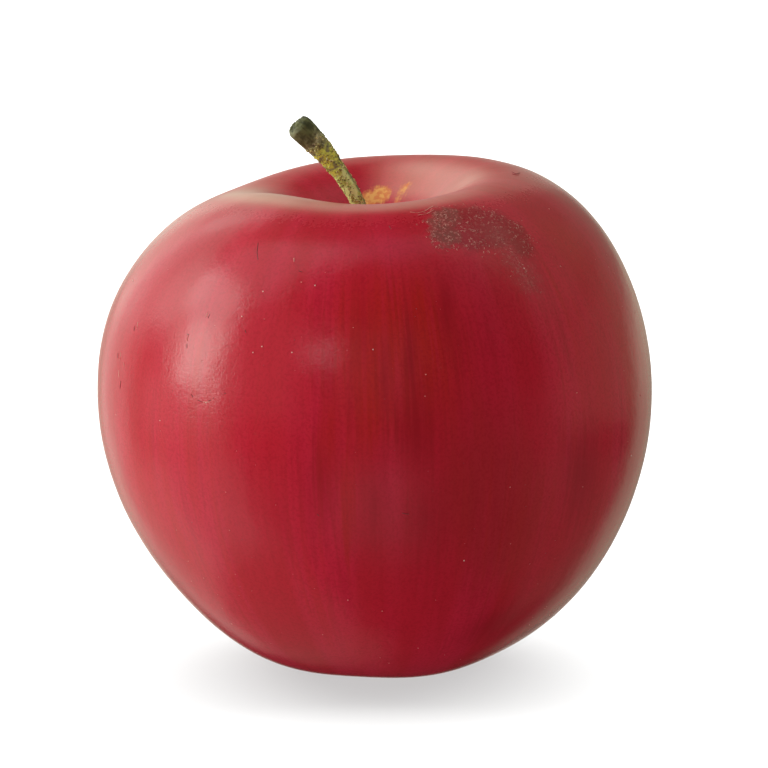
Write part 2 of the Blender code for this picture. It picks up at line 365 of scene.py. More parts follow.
def make_floor():
    material, paper = new_material("floor_paper")
    place = paper.node("ShaderNodeTexCoord", output="Object")
    grain = paper.noise(place, 1.0 / PAPER_GRAIN)
    paper.coat(
        {
            "Base Color": paper.mix(grain, FLOOR_PAPER, FLOOR_PAPER_SHADE),
            "Roughness": 1.0,
            "Specular IOR Level": 0.0,
            "Emission Color": WHITE,
            "Emission Strength": FLOOR_GLOW,
        }
    )
    mesh = bpy.data.meshes.new("floor")
    sheet = bmesh.new()
    bmesh.ops.create_grid(sheet, x_segments=1, y_segments=1, size=FLOOR_HALF_SIDE)
    sheet.to_mesh(mesh)
    sheet.free()
    mesh.materials.append(material)
    floor = add_object("floor", mesh)
    floor.visible_glossy = False
    floor.visible_diffuse = False
    floor.visible_shadow = False
    return floor


floor = make_floor()

# %% Lights
# Each fill: turn, height and power in watts. The low ones are the daylight that the table throws back.
FILLS = {
    "front": (0.0, 20.0, 2.4),
    "front_left": (-55.0, 10.0, 0.4),
    "overhead": (80.0, 65.0, 2.8),
    "high_right": (75.0, 35.0, 0.8),
    "low_right": (80.0, -15.0, 2.7),
    "table_front": (0.0, -35.0, 4.2),
    "table_left": (-60.0, -35.0, 2.6),
}
FILL_DISTANCE = 1.3
FILL_WIDTH = 0.8
TENT_WIDTH = math.radians(160.0)
TENT_TILT = math.radians(58.0)
TENT_STRENGTH = 48.5


def add_light(name, kind, place, floor_only, **settings):
    """A lamp that points at the fruit and shines either on the floor alone or on everything else."""
    lamp = bpy.data.lights.new(name, kind)
    for key, setting in settings.items():
        setattr(lamp, key, setting)
    light = add_object(name, lamp)
    light.location = place
    light.rotation_euler = (AIM - place).to_track_quat("-Z", "Y").to_euler()
    light.visible_camera = False
    receivers = bpy.data.collections.new(name + "_receivers")
    receivers.objects.link(floor)
    light.light_linking.receiver_collection = receivers
    receivers.collection_objects[0].light_linking.link_state = "INCLUDE" if floor_only else "EXCLUDE"
    return light


def direction_to(turn, height):
    """The way from the fruit to a lamp at this turn from the viewer and this height, in degrees."""
    turn = math.radians(turn)
    height = math.radians(height)
    level = math.cos(height)
    return Vector((math.sin(turn) * level, -math.cos(turn) * level, math.sin(height)))


for fill_name, (turn, height, power) in FILLS.items():
    fill_place = AIM + direction_to(turn, height) * FILL_DISTANCE
    fill = add_light(fill_name + "_fill", "AREA", fill_place, False, size=FILL_WIDTH, energy=power)
    fill.visible_glossy = False
tent_place = AIM + Vector((0.0, math.sin(TENT_TILT), math.cos(TENT_TILT)))
tent = add_light("floor_tent", "SUN", tent_place, True, angle=TENT_WIDTH, energy=TENT_STRENGTH)

# %% [markdown]
# ## A rule becomes a mesh
# Geometry Nodes make each main piece here. The tree's named inputs are its sizes. Once a tree has
# run, its result is copied into a plain mesh, because a plain mesh is what every other program reads.


# %% Run a Geometry Nodes rule
INPUT_KINDS = {int: "NodeSocketInt", float: "NodeSocketFloat", Vector: "NodeSocketVector"}


class Rule(Nodes):
    """A Geometry Nodes tree with named inputs, which ends in one mesh with one material."""

    def __init__(self, name, sizes):
        super().__init__(bpy.data.node_groups.new(name, "GeometryNodeTree"))
        self.tree.interface.new_socket("Geometry", in_out="OUTPUT", socket_type="NodeSocketGeometry")
        self.sizes = sizes
        self.identifiers = {}
        for size_name, size in sizes.items():
            kind = INPUT_KINDS.get(type(size), "NodeSocketObject")
            socket = self.tree.interface.new_socket(size_name, in_out="INPUT", socket_type=kind)
            self.identifiers[size_name] = socket.identifier
        self.given = self.node("NodeGroupInput")

    def __getitem__(self, size_name):
        return self.given.output(size_name)

    def shape_of(self, size_name):
        """The geometry of an object that is one of the inputs."""
        return self.node("GeometryNodeObjectInfo", None, {"Object": self[size_name]}, "Geometry")

    def place(self):
        return self.node("GeometryNodeInputPosition")

    def grid(self, columns, rows):
        """A sheet to be rolled up, with the angle round and the share along of each of its points."""
        sheet = self.node(
            "GeometryNodeMeshGrid",
            None,
            {"Size X": 1.0, "Size Y": 1.0, "Vertices X": columns, "Vertices Y": rows},
        )
        column, row, _ = self.split(self.place())
        return sheet, (column + 0.5) * math.tau, row + 0.5

    def cone(self, sides, rings, top, bottom, depth, fill="NGON", fill_rings=1):
        return self.node(
            "GeometryNodeMeshCone",
            {"fill_type": fill},
            {
                "Vertices": sides,
                "Side Segments": rings,
                "Fill Segments": fill_rings,
                "Radius Top": top,
                "Radius Bottom": bottom,
                "Depth": depth,
            },
            "Mesh",
        )

    def ball(self, radius, subdivisions):
        sizes = {"Radius": radius, "Subdivisions": subdivisions}
        return self.node("GeometryNodeMeshIcoSphere", None, sizes, "Mesh")

    def tube(self, curve, radius, sides):
        """A closed tube along a curve."""
        circle = "GeometryNodeCurvePrimitiveCircle"
        rim = self.node(circle, {"mode": "RADIUS"}, {"Resolution": sides, "Radius": radius})
        sizes = {"Curve": curve, "Profile Curve": rim, "Fill Caps": True}
        return self.node("GeometryNodeCurveToMesh", None, sizes)

    def transformed(self, geometry, **changes):
        return self.node("GeometryNodeTransform", None, {"Geometry": geometry, **changes})

    def joined(self, first, *others):
        whole = self.node("GeometryNodeJoinGeometry", None, {"Geometry": first})
        for other in others:
            self.tree.links.new(other.socket, whole.socket.node.inputs["Geometry"])
        return whole

    def moved(self, geometry, position=None, offset=None):
        inputs = {"Geometry": geometry}
        if position is not None:
            inputs["Position"] = position
        if offset is not None:
            inputs["Offset"] = offset
        return self.node("GeometryNodeSetPosition", None, inputs)

    def stored(self, geometry, name, value):
        """Keeps a vector on every point under a name, so that a material can read it."""
        return self.node(
            "GeometryNodeStoreNamedAttribute",
            {"data_type": "FLOAT_VECTOR", "domain": "POINT"},
            {"Geometry": geometry, "Name": name, "Value": value},
        )

    def merged(self, geometry, distance):
        return self.node("GeometryNodeMergeByDistance", None, {"Geometry": geometry, "Distance": distance})

    def named(self, name):
        return self.node("GeometryNodeInputNamedAttribute", {"data_type": "FLOAT_VECTOR"}, {"Name": name})

    def random(self, low, high, seed):
        return self.node(
            "FunctionNodeRandomValue",
            {"data_type": "FLOAT"},
            {"Min_001": low, "Max_001": high, "Seed": seed},
            "Value_001",
        )

    def scattered(self, surface, density, seed, instance, size, flatness=1.0, kept=None):
        """Copies of a shape, strewn over a surface and turned every way on it. Size is a range.

        Density is read at the mesh's corners. Kept is read at each point, so it can hold finer clumps.
        """
        points = self.node(
            "GeometryNodeDistributePointsOnFaces",
            {"distribute_method": "RANDOM"},
            {"Mesh": surface, "Density": density, "Seed": seed},
            "Points",
        )
        turned = self.node(
            "FunctionNodeRotateRotation",
            {"rotation_space": "LOCAL"},
            {
                "Rotation": points.output("Rotation"),
                "Rotate By": self.combine(0.0, 0.0, self.random(0.0, math.tau, seed + 1)),
            },
        )
        width = self.random(size[0], size[1], seed + 2)
        inputs = {
            "Points": points,
            "Instance": instance,
            "Rotation": turned,
            "Scale": self.combine(width, width, width * flatness),
        }
        if kept is not None:
            inputs["Selection"] = kept
        return self.node("GeometryNodeInstanceOnPoints", None, inputs)

    def finish(self, geometry, material):
        real = self.node("GeometryNodeRealizeInstances", None, {"Geometry": geometry})
        smooth = self.node("GeometryNodeSetShadeSmooth", None, {"Geometry": real})
        painted = self.node("GeometryNodeSetMaterial", None, {"Geometry": smooth, "Material": material})
        self.node("NodeGroupOutput", None, {"Geometry": painted})

    def grow(self, piece_name):
        """Runs the rule on an empty mesh and returns the result as a plain mesh object."""
        carrier = add_object("carrier", bpy.data.meshes.new("carrier"))
        modifier = carrier.modifiers.new("rule", "NODES")
        modifier.node_group = self.tree
        for size_name, size in self.sizes.items():
            modifier[self.identifiers[size_name]] = size
        graph = bpy.context.evaluated_depsgraph_get()
        mesh = bpy.data.meshes.new_from_object(
            carrier.evaluated_get(graph), preserve_all_data_layers=True, depsgraph=graph
        )
        bpy.data.objects.remove(carrier)
        return add_piece(piece_name, mesh)


def add_piece(piece_name, mesh):
    """Puts a finished mesh in the scene as a piece, and says how big it is and which way it faces."""
    mesh.name = piece_name
    piece = add_object(piece_name, mesh)
    mesh.calc_loop_triangles()
    volume = 0.0
    for triangle in mesh.loop_triangles:
        a, b, c = (mesh.vertices[number].co for number in triangle.vertices)
        volume += a.dot(b.cross(c)) / 6.0
    print(piece_name, len(mesh.loop_triangles), "triangles,", round(volume * 1e9, 1), "cubic mm")
    return piece


# %% [markdown]
# ## The skin
# The fruit grew round its core as five lobes, so its shape follows a rule: half of its outline is
# turned about the axis, and then every point is moved a little, up for a high shoulder and outwards
# over each lobe. Modelling it by hand would lose that order. The rule and its sizes are the same
# as the frame's, only on a grid fine enough for smooth reflections.

# %% The half outline
CHEEK_RADIUS = 0.0400
CHEEK_HEIGHT = 0.0395
CREST_RADIUS = 0.0185
CREST_HEIGHT = 0.0708
THROAT_RADIUS = 0.0016
THROAT_HEIGHT = 0.0580
RING_OUTER_RADIUS = 0.0096
RING_INNER_RADIUS = 0.0074
EYE_RADIUS = 0.0023
EYE_HEIGHT = 0.0068
THROAT_FLARE = (0.0042, 0.0022)
CREST_INNER_FULLNESS = 0.0090
CREST_OUTER_FULLNESS = 0.0093
CHEEK_UPPER_FULLNESS = 0.0195
CHEEK_LOWER_FULLNESS = 0.0199
HEEL_FULLNESS = 0.0148
BASIN_LIP = 0.0016
BASIN_WALL = 0.0034
OUTLINE_RESOLUTION = 48


def make_half_outline():
    """The outline from the stem to the eye, as a Bezier curve.

    Each knot has its place, the handle before it and the handle after it.
    """
    stem_floor = (0.0, THROAT_HEIGHT)
    throat = (THROAT_RADIUS, THROAT_HEIGHT)
    throat_after = (THROAT_RADIUS + THROAT_FLARE[0], THROAT_HEIGHT + THROAT_FLARE[1])
    crest = (CREST_RADIUS, CREST_HEIGHT)
    cheek = (CHEEK_RADIUS, CHEEK_HEIGHT)
    heel = (RING_OUTER_RADIUS, 0.0)
    lip = (RING_INNER_RADIUS, 0.0)
    eye = (EYE_RADIUS, EYE_HEIGHT)
    eye_centre = (0.0, EYE_HEIGHT)
    knots = (
        (stem_floor, stem_floor, stem_floor),
        (throat, throat, throat_after),
        (
            crest,
            (CREST_RADIUS - CREST_INNER_FULLNESS, CREST_HEIGHT),
            (CREST_RADIUS + CREST_OUTER_FULLNESS, CREST_HEIGHT),
        ),
        (
            cheek,
            (CHEEK_RADIUS, CHEEK_HEIGHT + CHEEK_UPPER_FULLNESS),
            (CHEEK_RADIUS, CHEEK_HEIGHT - CHEEK_LOWER_FULLNESS),
        ),
        (heel, (RING_OUTER_RADIUS + HEEL_FULLNESS, 0.0), heel),
        (lip, lip, (RING_INNER_RADIUS - BASIN_LIP, 0.0)),
        (eye, (EYE_RADIUS + BASIN_WALL, EYE_HEIGHT), eye),
        (eye_centre, eye_centre, eye_centre),
    )
    curve = bpy.data.curves.new("half_outline", "CURVE")
    curve.dimensions = "3D"
    curve.resolution_u = OUTLINE_RESOLUTION
    spline = curve.splines.new("BEZIER")
    spline.bezier_points.add(len(knots) - 1)
    for point, (place, before, after) in zip(spline.bezier_points, knots):
        point.handle_left_type = "FREE"
        point.handle_right_type = "FREE"
        point.co = (place[0], 0.0, place[1])
        point.handle_left = (before[0], 0.0, before[1])
        point.handle_right = (after[0], 0.0, after[1])
    return add_object("half_outline", curve)


half_outline = make_half_outline()
print("outline knots:", len(half_outline.data.splines[0].bezier_points))

# %% Grow the skin
LOBE_HEIGHTS = (0.0001, -0.0004, -0.0006, -0.0016, 0.0014)
LOBES = len(LOBE_HEIGHTS)
FIRST_LOBE_ANGLE = math.radians(-65.0)
LOBE_SHARPNESS = 11.0
SHOULDER_SWELL = 0.007
CROWN_SWELL = 0.030
SHOULDER_RISE = Vector((0.071, 0.026, 0.0))
CREST_SHIFT = Vector((-0.0009, -0.0009, 0.0))
BASE_SHIFT = Vector((0.0006, 0.0, 0.0))
MERIDIANS = 320
ROWS = 270
UNEVENNESS = 0.00016
UNEVENNESS_WIDTH = 0.011
EVEN_FOOT = (0.001, 0.010)
JOIN_DISTANCE = 0.000001


def make_skin_rule(material):
    rule = Rule(
        "grow_skin",
        {
            "Half Outline": half_outline,
            "Meridians": MERIDIANS,
            "Rows": ROWS,
            "Cheek Height": CHEEK_HEIGHT,
            "Crest Radius": CREST_RADIUS,
            "Crest Height": CREST_HEIGHT,
            "Crest Shift": CREST_SHIFT,
            "Base Shift": BASE_SHIFT,
            "Shoulder Rise": SHOULDER_RISE,
            "Shoulder Swell": SHOULDER_SWELL,
            "Crown Swell": CROWN_SWELL,
            "Unevenness": UNEVENNESS,
        },
    )
    sheet, angle, share = rule.grid(rule["Meridians"] + 1, rule["Rows"])
    on_outline = rule.node(
        "GeometryNodeSampleCurve",
        {"mode": "FACTOR", "use_all_curves": True},
        {"Curves": rule.shape_of("Half Outline"), "Factor": share},
        "Position",
    )
    radius, _, height = rule.split(on_outline)
    in_cavity = (radius < rule["Crest Radius"]) * (height > rule["Cheek Height"])
    in_basin = (radius < RING_OUTER_RADIUS) * (height < rule["Cheek Height"])
    top = height.step(rule["Cheek Height"], rule["Crest Height"]).larger(in_cavity)
    low = height.fall(0.0, rule["Cheek Height"]).larger(in_basin)
    past_throat = radius.step(THROAT_RADIUS, rule["Crest Radius"])
    past_eye = radius.step(EYE_RADIUS, RING_INNER_RADIUS)
    ribs = ((angle - FIRST_LOBE_ANGLE) * LOBES).cosine()
    shoulder_swell = rule["Shoulder Swell"] * top * past_throat
    crown_swell = rule["Crown Swell"] * low ** 3.0 * past_eye
    swell = 1.0 + ribs * (shoulder_swell + crown_swell)
    crest_x, crest_y, _ = rule.split(rule["Crest Shift"])
    base_x, base_y, _ = rule.split(rule["Base Shift"])
    x = radius * angle.cosine() * swell + crest_x * top + base_x * low
    y = radius * angle.sine() * swell + crest_y * top + base_y * low
    rise_x, rise_y, _ = rule.split(rule["Shoulder Rise"])
    rise = x * rise_x + y * rise_y
    for number, lobe_height in enumerate(LOBE_HEIGHTS):
        towards = (angle - (FIRST_LOBE_ANGLE + number * math.tau / LOBES)).cosine()
        rise = rise + ((towards + 1.0) / 2.0) ** LOBE_SHARPNESS * lobe_height
    lift = top * (1.0 - in_cavity * (1.0 - past_throat))
    around = rule.combine(angle.cosine(), angle.sine(), share)
    position = rule.combine(x, y, height + lift * rise)
    closed = rule.merged(rule.moved(rule.stored(sheet, "around", around), position=position), JOIN_DISTANCE)
    waves = rule.noise(rule.place(), 1.0 / UNEVENNESS_WIDTH, 1.0)
    off_the_ring = rule.split(rule.place())[2].step(*EVEN_FOOT)
    outwards_by = (waves - 0.5) * rule["Unevenness"] * off_the_ring
    uneven = rule.moved(closed, offset=rule.scaled(rule.node("GeometryNodeInputNormal"), outwards_by))
    outwards = rule.node("GeometryNodeFlipFaces", None, {"Mesh": uneven})
    rule.finish(outwards, material)
    return rule


bare_skin = make_skin_rule(None).grow("bare_skin")
bpy.data.objects.remove(half_outline)

# %% [markdown]
# ## Where the photograph's marks lie
# A streak, a scratch or the scuff is at a pixel of the photograph. A ray from the camera through
# that pixel meets the skin at the one point where the mark belongs, so it lies on the skin and is
# right from every side, not only from the front.

# %% From a pixel to the skin
skin_tree = BVHTree.FromPolygons(
    [vertex.co for vertex in bare_skin.data.vertices],
    [list(face.vertices) for face in bare_skin.data.polygons],
)


def hit_on_skin(pixel):
    """The point of the skin under a pixel, and the direction that it faces."""
    across = (pixel[0] - AIM_PIXEL[0]) / PIXELS_PER_METRE / VIEW_DISTANCE
    down = (pixel[1] - AIM_PIXEL[1]) / PIXELS_PER_METRE / VIEW_DISTANCE
    place, normal, _, _ = skin_tree.ray_cast(EYE_POINT, LOOK + PICTURE_RIGHT * across - PICTURE_UP * down)
    return place, (-normal if normal.dot(LOOK) > 0.0 else normal)


def on_skin(pixel):
    return hit_on_skin(pixel)[0]


def path_on_skin(pixels):
    return [on_skin(pixel) for pixel in pixels]


WINDOW_PIXEL = (200, 340)
window_place = [round(part * 1000, 1) for part in on_skin(WINDOW_PIXEL)]
print("middle of the window's reflection in mm:", window_place)

# %% [markdown]
# ## Brush dabs, painted shade and rubs
# Some strokes, two dabs of painted shade, the russet in the cavity and the scuff have a place of
# their own. Each is laid down as a value that is 1 in its middle and falls evenly to nothing at its rim,
# and a second rule keeps these values on the skin's points. A material that measured the distance to
# thirty strokes for each ray would be slow. Read from the mesh, they cost nothing, and noise breaks up
# their soft rims.

# %% The marks and their places
ORANGE_DABS = (
    ((374, 280), (370, 500), 0.0024),
    ((395, 250), (393, 410), 0.0018),
    ((420, 246), (421, 390), 0.0018),
    ((432, 280), (433, 420), 0.0013),
    ((331, 340), (326, 540), 0.0028),
    ((349, 390), (344, 600), 0.0022),
)
# Maroon dabs, each with its strength last. The last two rows are painted shade, not the skin's colour.
MAROON_DABS_AND_PAINTED_SHADE = (
    ((445, 250), (447, 360), 0.0020, 0.75),
    ((411, 270), (410, 460), 0.0018, 0.70),
    ((386, 300), (383, 450), 0.0016, 0.60),
    ((412, 340), (418, 520), 0.0052, 0.75),
    ((484, 255), (492, 420), 0.0034, 0.38),
    ((462, 280), (470, 400), 0.0024, 0.35),
    ((425, 440), (424, 600), 0.0060, 0.55),
    ((376, 420), (374, 590), 0.0040, 0.60),
    ((318, 390), (322, 570), 0.0062, 0.62),
    ((276, 440), (284, 600), 0.0050, 0.30),
    # Painted shade: a dark patch on the right cheek, where the skin mirrors nothing bright.
    ((584, 395), (578, 550), 0.0066, 0.80),
    # Painted shade: darker along the bottom right edge, next to the table.
    ((430, 656), (548, 596), 0.0062, 0.75),
)
CRIMSON_DABS = (
    ((262, 280), (262, 500), 0.0054),
    ((300, 260), (298, 440), 0.0054),
    ((322, 212), (324, 254), 0.0070),
    ((492, 248), (540, 370), 0.0036),
    ((530, 340), (550, 490), 0.0032),
)
STREAKED_PATCH = ((396, 230), (398, 480), 0.0130)
DUSK_PATCH = ((496, 380), (500, 640), 0.0120)
RUSSET_PATCH = ((371, 199), (381, 193))
RUSSET_REACH = 0.0027
RUSSET_RAY = ((397, 200), (408, 184))
RUSSET_RAY_REACH = 0.0024
RUSSET_RAY_STRENGTH = 0.55
SCUFF_BLOB = ((448, 214), (440, 222), (446, 236))
SCUFF_NET = (
    ((446, 214), (470, 214), (496, 219), (514, 232), (522, 246)),
    ((446, 232), (470, 240), (498, 234)),
    ((462, 226), (500, 226)),
)
SCUFF_TAIL = ((498, 236), (510, 246), (517, 262), (530, 282))
SCUFF_REACH = 0.0036
DAB_DEPTH = 0.010


def dab(rule, place, start, end, half_width, strength=1.0):
    """The strength in the middle of a brush dab between two pixels, falling evenly to 0 at its rim."""
    centre, facing = hit_on_skin(((start[0] + end[0]) / 2.0, (start[1] + end[1]) / 2.0))
    half = (on_skin(end) - on_skin(start)) / 2.0
    half -= facing * half.dot(facing)
    across = half.cross(facing).normalized()
    from_centre = rule.vector("SUBTRACT", place, centre)
    lengthwise = rule.vector("DOT_PRODUCT", from_centre, half / half.length_squared)
    sideways = rule.vector("DOT_PRODUCT", from_centre, across / half_width)
    depth = rule.vector("DOT_PRODUCT", from_centre, facing)
    away = rule.vector("LENGTH", rule.combine(lengthwise, sideways, 0.0))
    return (1.0 - away).larger(0.0) * (depth > -DAB_DEPTH) * strength


def make_mark_rule(material):
    rule = Rule("lay_marks", {"Bare Skin": bare_skin, "Scuff Reach": SCUFF_REACH})
    place = rule.place()
    reach = rule["Scuff Reach"]

    def near_pixels(pixels, reach):
        return rule.near_path(place, path_on_skin(pixels), reach)

    def laid(dabs):
        return rule.largest([dab(rule, place, *size) for size in dabs])

    # The second of the kept strokes holds maroon dabs and the two dabs of painted shade.
    strokes = rule.combine(laid(ORANGE_DABS), laid(MAROON_DABS_AND_PAINTED_SHADE), laid(CRIMSON_DABS))
    russet_ray = near_pixels(RUSSET_RAY, RUSSET_RAY_REACH) * RUSSET_RAY_STRENGTH
    russet = near_pixels(RUSSET_PATCH, RUSSET_REACH).larger(russet_ray)
    patches = rule.combine(dab(rule, place, *STREAKED_PATCH), dab(rule, place, *DUSK_PATCH), russet)
    net = rule.largest([near_pixels(path, reach) for path in SCUFF_NET])
    rubs = rule.combine(near_pixels(SCUFF_BLOB, reach), net, near_pixels(SCUFF_TAIL, reach))
    marked = rule.shape_of("Bare Skin")
    for name, value in (("strokes", strokes), ("patches", patches), ("rubs", rubs)):
        marked = rule.stored(marked, name, value)
    rule.finish(marked, material)
    return rule


skin_material, skin_paint = new_material("apple_skin")
skin = make_mark_rule(skin_material).grow("skin")
bpy.data.objects.remove(bare_skin)

# %% [markdown]
# ## The colour of the skin
# The red lies in strokes that run from the stem to the eye, because the skin stretches that way as
# the fruit swells. Noise that is drawn out along the meridians gives such strokes. The skin carries
# an attribute with each point's direction round the axis and its share of the way down, so the
# strokes close up at the stem without a seam. Broad crimson and cherry areas come first, then fine
# orange-red and maroon strokes and the dabs that the photograph shows plainest, two of them painted
# shade, and a sandy grain, which also roughens the gloss. Over them go a pale sheen painted on the
# crest as a reflection, the russet in the cavity and the rubbed scuff.

# %% Reds
CRIMSON = (0.50, 0.0125, 0.028)
CHERRY = (0.56, 0.016, 0.042)
ORANGE_RED = (0.46, 0.0150, 0.0115)
MAROON = (0.30, 0.0070, 0.0150)
DEEP_MAROON = (0.21, 0.0050, 0.0110)
OLIVE_RED = (0.27, 0.0160, 0.0110)
DUSKY_RED = (0.36, 0.0200, 0.0220)
TAN = (0.86, 0.44, 0.12)
ORANGE_TAN = (0.76, 0.25, 0.075)
FILM_BROWN = (0.22, 0.056, 0.042)
FILM_PINK = (0.33, 0.054, 0.052)
SPECK_PINK = (0.56, 0.22, 0.18)
# Painted reflection: the pale sheen that the crest would mirror from the bright studio.
PAINTED_SHEEN = (0.74, 0.43, 0.33)
# Each painted sheen, a pale reflection painted on the crest: its turn in degrees, where its sides fade,
# where it starts and ends down the outline, and its strength.
CREST_PAINTED_SHEENS = (
    (35.0, (0.45, 0.98), (0.090, 0.115), (0.138, 0.182), 0.52),
    (-158.0, (0.35, 0.95), (0.135, 0.172), (0.182, 0.215), 0.66),
    (-90.0, (0.30, 0.90), (0.160, 0.178), (0.185, 0.205), 0.25),
)
OUTLINE_LENGTH = 0.130
# Each kind of stroke: its width and its length.
BROAD_STROKES = (0.0090, 0.060)
FINE_STROKES = (0.0016, 0.026)
HAIR_STROKES = (0.0006, 0.014)
RUSSET_RAYS = (0.010, 0.02)
CAVITY_AXIS = CREST_SHIFT
CAVITY_RUSSET = (0.0030, 0.0070)
SAND_GRAIN = 0.00040
SAND_HEIGHT = 0.000026
DENT_WIDTH = 0.0026
DENT_HEIGHT = 0.000040
SCUFF_HEIGHT = 0.000030
SKIN_ROUGHNESS = 0.205
SKIN_REFRACTION = 1.45
CREST_DULLNESS = 0.14
# Noises on the skin, in waves to the metre.
CLOUD_WAVES = 60.0
RAGGED_WAVES = 700.0
RUSSET_WAVES = 1500.0
GRIT_WAVES = 2300.0

# %% Strokes, and what the layers share
def streaks(paint, around, size, detail=2.0):
    """Noise in strokes of this width and length along the meridians."""
    scale = CHEEK_RADIUS / size[0]
    drawn_out = paint.vector("MULTIPLY", around, (1.0, 1.0, OUTLINE_LENGTH / size[1] / scale))
    return paint.noise(drawn_out, scale, detail)


def read_skin(paint):
    """What the layers share: the marks kept on the skin, and noises of several widths."""

    def kept(name):
        return paint.node("ShaderNodeAttribute", {"attribute_name": name}, output="Vector")

    on = SimpleNamespace(around=kept("around"), place=paint.node("ShaderNodeTexCoord", output="Object"))
    on.share = paint.split(on.around)[2]
    on.orange, on.dark, on.crimson = paint.split(kept("strokes"))
    on.streaked, on.dusk, on.stain = paint.split(kept("patches"))
    on.blob, on.net, on.tail = paint.split(kept("rubs"))
    on.broad = streaks(paint, on.around, BROAD_STROKES, 1.0)
    on.fine = streaks(paint, on.around, FINE_STROKES, 3.0)
    on.hairs = streaks(paint, on.around, HAIR_STROKES, 3.0)
    on.cloud = paint.noise(on.place, CLOUD_WAVES, 2.0)
    on.sand = paint.noise(on.place, 1.0 / SAND_GRAIN, 2.0, 0.6)
    on.grit = paint.noise(on.place, GRIT_WAVES, 3.0, 0.7)
    on.ragged = paint.noise(on.place, RAGGED_WAVES, 3.0, 0.6) - 0.5
    on.bristles = (on.hairs - 0.5) * 1.1 + (on.fine - 0.5) * 0.7
    return on


# %% Layers of red and painted sheen
def lay_reds(paint, on):
    on_the_side = on.share.step(0.20, 0.34) * on.share.fall(0.62, 0.86)
    wavering = on_the_side * (0.15 + 0.40 * on.broad.step(0.48, 0.60))
    lively = (wavering + on.streaked.step(0.0, 0.6) * 0.5).smaller(1.0)
    colour = paint.mix(on.broad.step(0.40, 0.60), CRIMSON, CHERRY)
    colour = paint.mix(on.cloud.step(0.42, 0.66) * 0.12, colour, DUSKY_RED)
    colour = paint.mix((on.streaked + on.ragged * 0.2).step(0.0, 0.6) * 0.55, colour, ORANGE_RED)
    colour = paint.mix((on.dusk + on.bristles * 0.3).step(0.05, 0.7) * 0.65, colour, DUSKY_RED)
    colour = paint.mix(on.fine.step(0.48, 0.66) * lively * 0.7, colour, ORANGE_RED)
    colour = paint.mix(on.fine.fall(0.34, 0.50) * lively * 0.45, colour, MAROON)
    colour = paint.mix((on.crimson + on.bristles * 0.35).step(0.10, 0.60) * 0.6, colour, CRIMSON)
    colour = paint.mix((on.orange + on.bristles * 0.8).step(0.15, 0.85) * 0.6, colour, ORANGE_RED)
    # Maroon dabs, and painted shade on the right cheek and along the bottom right edge.
    colour = paint.mix((on.dark + on.bristles * 0.5).step(0.0, 0.95) * 0.7, colour, MAROON)
    colour = paint.mix(on.hairs.step(0.50, 0.68) * (0.05 + lively * 0.28), colour, OLIVE_RED)
    colour = paint.mix(on.hairs.fall(0.32, 0.50) * (0.05 + lively * 0.22), colour, CHERRY)
    return paint.mix(on.sand.fall(0.34, 0.56) * 0.30, colour, MAROON)


def lay_painted_sheens(paint, on, colour):
    # Painted reflection: a pale sheen laid into the colour on the crest, where it faces bright paper.
    for turn, sides, start, end, strength in CREST_PAINTED_SHEENS:
        towards = (math.cos(math.radians(turn)), math.sin(math.radians(turn)), 0.0)
        facing = paint.vector("DOT_PRODUCT", on.around, towards).step(*sides)
        painted_sheen = facing * on.share.step(*start) * on.share.fall(*end)
        colour = paint.mix(painted_sheen * (0.75 + on.cloud.step(0.35, 0.65) * 0.4) * strength, colour, PAINTED_SHEEN)
    return colour


# %% Russet and scuff
def lay_russet(paint, on, colour):
    """The colour with the russet over it, and how much of the russet there is."""
    from_axis = paint.vector("MULTIPLY", paint.vector("SUBTRACT", on.place, CAVITY_AXIS), (1.0, 1.0, 0.0))
    reach = paint.vector("LENGTH", from_axis) + (streaks(paint, on.around, RUSSET_RAYS) - 0.5) * 0.010
    russet = reach.fall(*CAVITY_RUSSET) * on.share.fall(0.16, 0.20)
    russet = russet.larger((on.stain + on.ragged * 0.6 + (on.hairs - 0.5) * 0.4).step(0.32, 0.66))
    flecked = paint.mix(paint.noise(on.place, RUSSET_WAVES, 2.0).step(0.40, 0.62), ORANGE_TAN, TAN)
    return paint.mix(russet, colour, flecked), russet


def lay_scuff(paint, on, colour):
    """The colour with the scuff over it, and how much of its dull film there is."""
    netted = (on.net + on.ragged * 0.9).step(0.20, 0.70)
    pressed = (on.blob + on.ragged * 0.9).step(0.28, 0.70)
    fading = (on.tail + on.ragged * 1.2).step(0.10, 1.00)
    colour = paint.mix(netted * 0.55, colour, DEEP_MAROON)
    colour = paint.mix(fading * 0.45, colour, FILM_PINK)
    colour = paint.mix(pressed * (0.35 + on.grit.fall(0.44, 0.58) * 0.50), colour, FILM_BROWN)
    rubbed = (netted * 0.40).larger(pressed).larger(fading * 0.6)
    colour = paint.mix(rubbed * on.grit.step(0.55, 0.64) * 0.60, colour, SPECK_PINK)
    return colour, pressed.larger(fading * 0.35).larger(netted * 0.12)


# %% Gloss and relief
def skin_roughness(on, film, russet):
    dull = on.share.fall(0.17, 0.27) * CREST_DULLNESS
    roughness = SKIN_ROUGHNESS + dull + (on.fine - 0.5) * 0.08 + (on.sand - 0.5) * 0.10
    return roughness + film * 0.22 + russet * 0.25


def skin_relief(paint, on):
    relief = on.sand * SAND_HEIGHT * (0.4 + on.share.step(0.18, 0.32) * 0.6)
    relief = relief + paint.noise(on.place, 1.0 / DENT_WIDTH, 1.0) * DENT_HEIGHT
    netted = on.net.step(0.20, 0.70) * 0.4
    scraped = on.blob.step(0.28, 0.70).larger(netted).larger(on.tail.step(0.10, 1.00) * 0.6)
    return relief + (scraped + on.stain.step(0.32, 0.66)) * on.grit * SCUFF_HEIGHT


